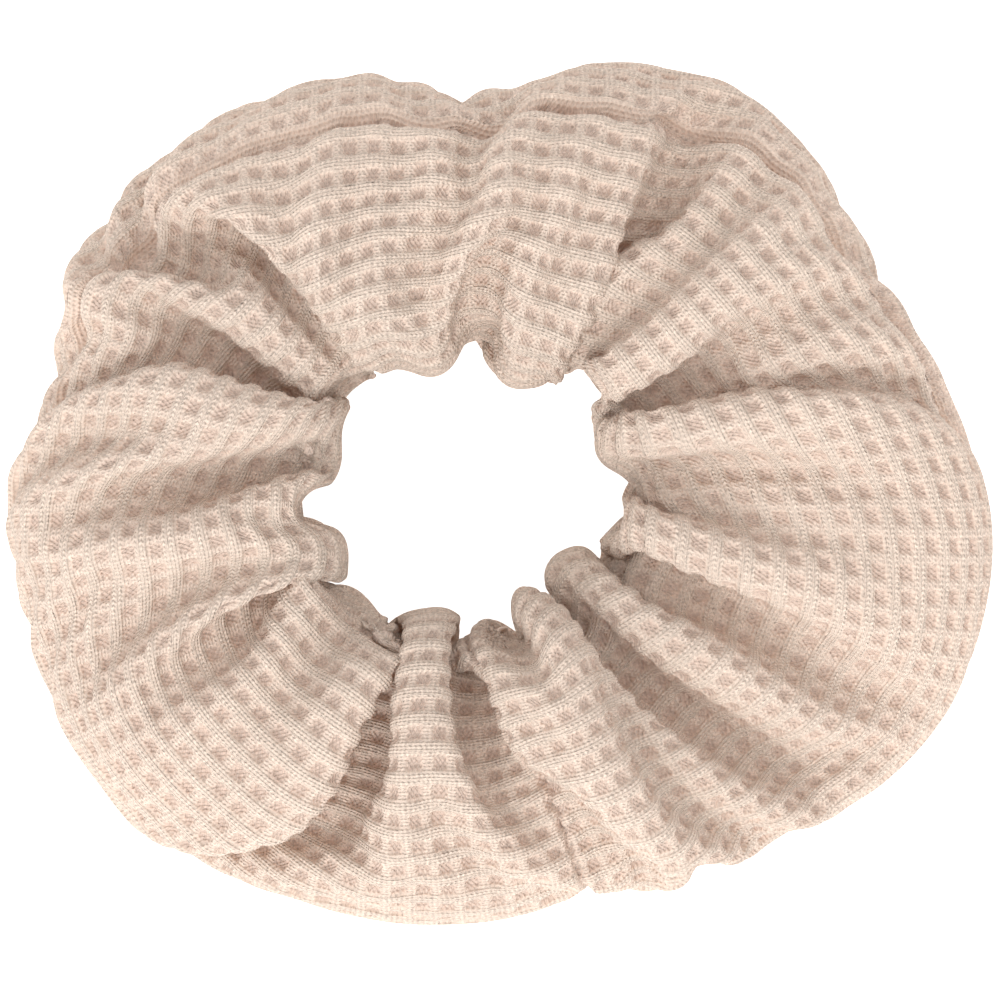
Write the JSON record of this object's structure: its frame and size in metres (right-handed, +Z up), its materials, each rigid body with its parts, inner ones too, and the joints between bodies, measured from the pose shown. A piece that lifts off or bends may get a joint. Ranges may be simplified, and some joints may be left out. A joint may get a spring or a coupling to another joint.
{
  "type": "scrunchie",
  "caption": "Gathered ring of pale waffle knit round an elastic loop, for holding a ponytail. It lies flat and stretches open.",
  "frame": {"origin": "middle of the outline, on the surface the ring lies on", "axes": "+Z up through the hair hole, +X along the longest extent, with the closing seam near -Y"},
  "size_m": [0.1194, 0.103, 0.026],
  "materials": {
    "waffle_knit": "matte brushed cotton waffle knit, pale peach",
    "braided_elastic": "white braided elastic",
    "sewing_thread": "matte spun polyester thread, matched to the knit",
    "join_thread": "white spun polyester thread"
  },
  "bodies": {
    "closing_seam": {"cover_start": "waffle_knit", "elastic_start": "braided_elastic", "seam_thread_start": "sewing_thread", "closing_stitches": "sewing_thread", "elastic_lap": "braided_elastic", "elastic_join": "join_thread"},
    "gather_01": {"cover_01": "waffle_knit", "elastic_01": "braided_elastic", "seam_thread_01": "sewing_thread"},
    "gather_02": {"cover_02": "waffle_knit", "elastic_02": "braided_elastic", "seam_thread_02": "sewing_thread"},
    "gather_03": {"cover_03": "waffle_knit", "elastic_03": "braided_elastic", "seam_thread_03": "sewing_thread"},
    "gather_04": {"cover_04": "waffle_knit", "elastic_04": "braided_elastic", "seam_thread_04": "sewing_thread"},
    "gather_05": {"cover_05": "waffle_knit", "elastic_05": "braided_elastic", "seam_thread_05": "sewing_thread"},
    "gather_06": {"cover_06": "waffle_knit", "elastic_06": "braided_elastic", "seam_thread_06": "sewing_thread"},
    "gather_07": {"cover_07": "waffle_knit", "elastic_07": "braided_elastic", "seam_thread_07": "sewing_thread"},
    "gather_08": {"cover_08": "waffle_knit", "elastic_08": "braided_elastic", "seam_thread_08": "sewing_thread"},
    "gather_09": {"cover_09": "waffle_knit", "elastic_09": "braided_elastic", "seam_thread_09": "sewing_thread"},
    "gather_10": {"cover_10": "waffle_knit", "elastic_10": "braided_elastic", "seam_thread_10": "sewing_thread"},
    "gather_11": {"cover_11": "waffle_knit", "elastic_11": "braided_elastic", "seam_thread_11": "sewing_thread"},
    "closing_end": {"cover_end": "waffle_knit", "elastic_end": "braided_elastic", "seam_thread_end": "sewing_thread"}
  },
  "joints": [
    {"name": "stretch_01", "type": "slide", "parent": "closing_seam", "child": "gather_01", "axis": [0.9063, 0.4226, 0], "range_m": [0, 0.0104], "stiffness_N_per_m": 300},
    {"name": "stretch_02", "type": "slide", "parent": "gather_01", "child": "gather_02", "axis": [0.5736, 0.8192, 0], "range_m": [0, 0.0104], "stiffness_N_per_m": 300},
    {"name": "stretch_03", "type": "slide", "parent": "gather_02", "child": "gather_03", "axis": [0.0872, 0.9962, 0], "range_m": [0, 0.0104], "stiffness_N_per_m": 300},
    {"name": "stretch_04", "type": "slide", "parent": "gather_03", "child": "gather_04", "axis": [-0.4226, 0.9063, 0], "range_m": [0, 0.0104], "stiffness_N_per_m": 300},
    {"name": "stretch_05", "type": "slide", "parent": "gather_04", "child": "gather_05", "axis": [-0.8192, 0.5736, 0], "range_m": [0, 0.0104], "stiffness_N_per_m": 300},
    {"name": "stretch_06", "type": "slide", "parent": "gather_05", "child": "gather_06", "axis": [-0.9962, 0.0872, 0], "range_m": [0, 0.0104], "stiffness_N_per_m": 300},
    {"name": "stretch_07", "type": "slide", "parent": "gather_06", "child": "gather_07", "axis": [-0.9063, -0.4226, 0], "range_m": [0, 0.0104], "stiffness_N_per_m": 300},
    {"name": "stretch_08", "type": "slide", "parent": "gather_07", "child": "gather_08", "axis": [-0.5736, -0.8192, 0], "range_m": [0, 0.0104], "stiffness_N_per_m": 300},
    {"name": "stretch_09", "type": "slide", "parent": "gather_08", "child": "gather_09", "axis": [-0.0872, -0.9962, 0], "range_m": [0, 0.0104], "stiffness_N_per_m": 300},
    {"name": "stretch_10", "type": "slide", "parent": "gather_09", "child": "gather_10", "axis": [0.4226, -0.9063, 0], "range_m": [0, 0.0104], "stiffness_N_per_m": 300},
    {"name": "stretch_11", "type": "slide", "parent": "gather_10", "child": "gather_11", "axis": [0.8192, -0.5736, 0], "range_m": [0, 0.0104], "stiffness_N_per_m": 300},
    {"name": "stretch_end", "type": "slide", "parent": "gather_11", "child": "closing_end", "axis": [0.9962, -0.0872, 0], "range_m": [0, 0.0104], "stiffness_N_per_m": 300}
  ],
  "couplings": [
    {"joint": "stretch_02", "follows": "stretch_01", "ratio": 1},
    {"joint": "stretch_03", "follows": "stretch_01", "ratio": 1},
    {"joint": "stretch_04", "follows": "stretch_01", "ratio": 1},
    {"joint": "stretch_05", "follows": "stretch_01", "ratio": 1},
    {"joint": "stretch_06", "follows": "stretch_01", "ratio": 1},
    {"joint": "stretch_07", "follows": "stretch_01", "ratio": 1},
    {"joint": "stretch_08", "follows": "stretch_01", "ratio": 1},
    {"joint": "stretch_09", "follows": "stretch_01", "ratio": 1},
    {"joint": "stretch_10", "follows": "stretch_01", "ratio": 1},
    {"joint": "stretch_11", "follows": "stretch_01", "ratio": 1},
    {"joint": "stretch_end", "follows": "stretch_01", "ratio": 1}
  ]
}
